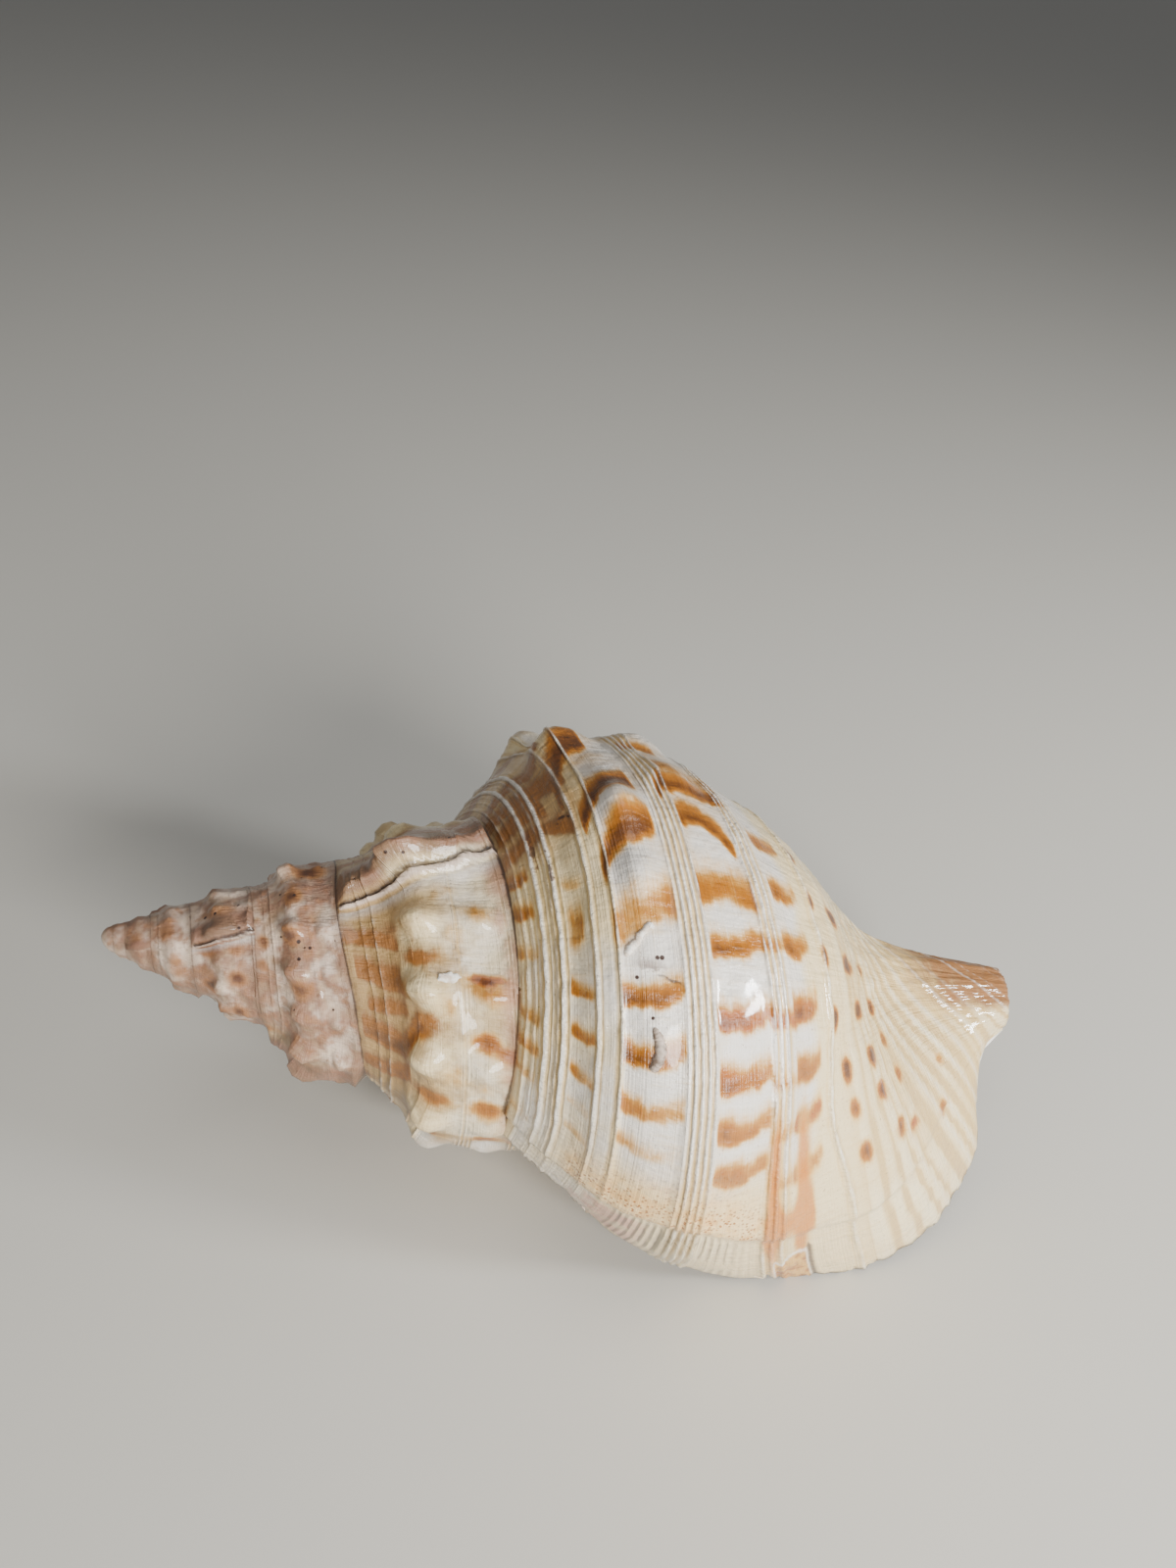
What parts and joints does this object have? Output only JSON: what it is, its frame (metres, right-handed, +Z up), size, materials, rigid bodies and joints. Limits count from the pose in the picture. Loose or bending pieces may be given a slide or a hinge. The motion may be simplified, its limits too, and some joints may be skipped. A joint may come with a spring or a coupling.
{
  "type": "triton shell",
  "caption": "Large spiral sea-snail shell with a knobbed spire, a swollen last whorl, a flared uneven lip and an open mouth, lying mouth down.",
  "frame": {"origin": "middle of the bounding box, on the surface the shell lies on", "axes": "+X along the shell from the tip of the spire to the end of the canal, +Z up, and -Y towards the outer lip"},
  "size_m": [0.2772, 0.154, 0.1334],
  "materials": {
    "shell": "satin, part worn"
  },
  "bodies": {
    "root": {"triton_shell": "shell"}
  },
  "joints": []
}
